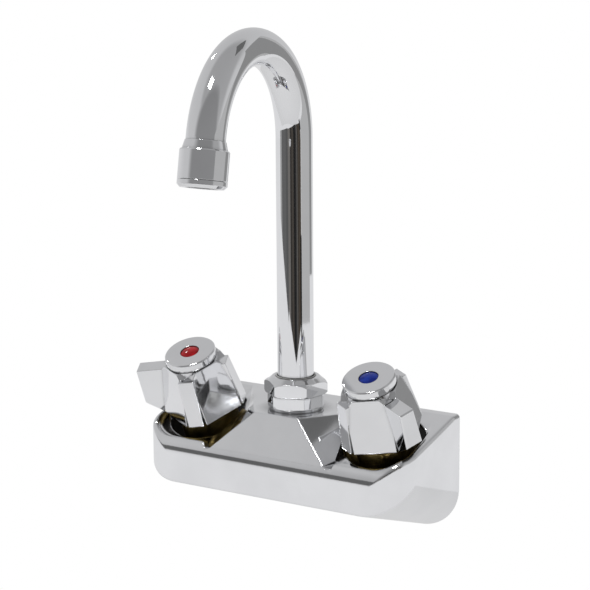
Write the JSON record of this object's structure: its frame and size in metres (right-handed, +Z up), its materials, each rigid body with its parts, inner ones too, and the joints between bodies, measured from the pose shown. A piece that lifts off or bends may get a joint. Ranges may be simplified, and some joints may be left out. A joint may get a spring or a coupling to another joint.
{
  "type": "faucet",
  "caption": "Chromed wall faucet with two tilted lever handles in a sunk cover and a tall swinging gooseneck spout.",
  "frame": {"origin": "on the wall plane, midway between the two inlets and at their height", "axes": "+X to the user's right, +Y into the wall, +Z up"},
  "size_m": [0.1577, 0.1338, 0.2437],
  "materials": {
    "chrome": "mirror polished",
    "brass": "as machined",
    "steel": "brushed",
    "rubber": "matt",
    "ceramic": "lapped",
    "white_plastic": "satin",
    "red_plastic": "gloss",
    "blue_plastic": "gloss"
  },
  "bodies": {
    "body": {"body_shroud": "chrome", "waterway": "brass", "spout_socket": "chrome", "spout_nut": "chrome", "spout_slip_ring": "white_plastic", "hot_seat_seal": "rubber", "hot_fixed_disc": "ceramic", "hot_cartridge_body": "brass", "hot_bonnet_nut": "brass", "cold_seat_seal": "rubber", "cold_fixed_disc": "ceramic", "cold_cartridge_body": "brass", "cold_bonnet_nut": "brass"},
    "spout": {"spout_tube": "chrome", "spout_bushing": "brass", "spout_o_rings": "rubber", "aerator_housing": "chrome", "aerator_washer": "rubber", "aerator_ring": "chrome", "aerator_insert": "white_plastic", "aerator_screen": "steel"},
    "hot_valve": {"hot_handle": "chrome", "hot_button": "red_plastic", "hot_handle_screw": "steel", "hot_stem": "brass", "hot_stem_o_ring": "rubber", "hot_moving_disc": "ceramic"},
    "cold_valve": {"cold_handle": "chrome", "cold_button": "blue_plastic", "cold_handle_screw": "steel", "cold_stem": "brass", "cold_stem_o_ring": "rubber", "cold_moving_disc": "ceramic"}
  },
  "joints": [
    {"name": "spout_swivel", "type": "hinge", "parent": "body", "child": "spout", "pos_m": [0, -0.0297, 0.042], "axis": [0, 0, 1], "range_deg": [-97.9, 82.1]},
    {"name": "hot_turn", "type": "hinge", "parent": "body", "child": "hot_valve", "pos_m": [-0.0508, -0.02193, 0], "axis": [0, -0.4074, 0.9133], "range_deg": [0, 90]},
    {"name": "cold_turn", "type": "hinge", "parent": "body", "child": "cold_valve", "pos_m": [0.0508, -0.02193, 0], "axis": [0, -0.4074, 0.9133], "range_deg": [-90, 0]}
  ]
}
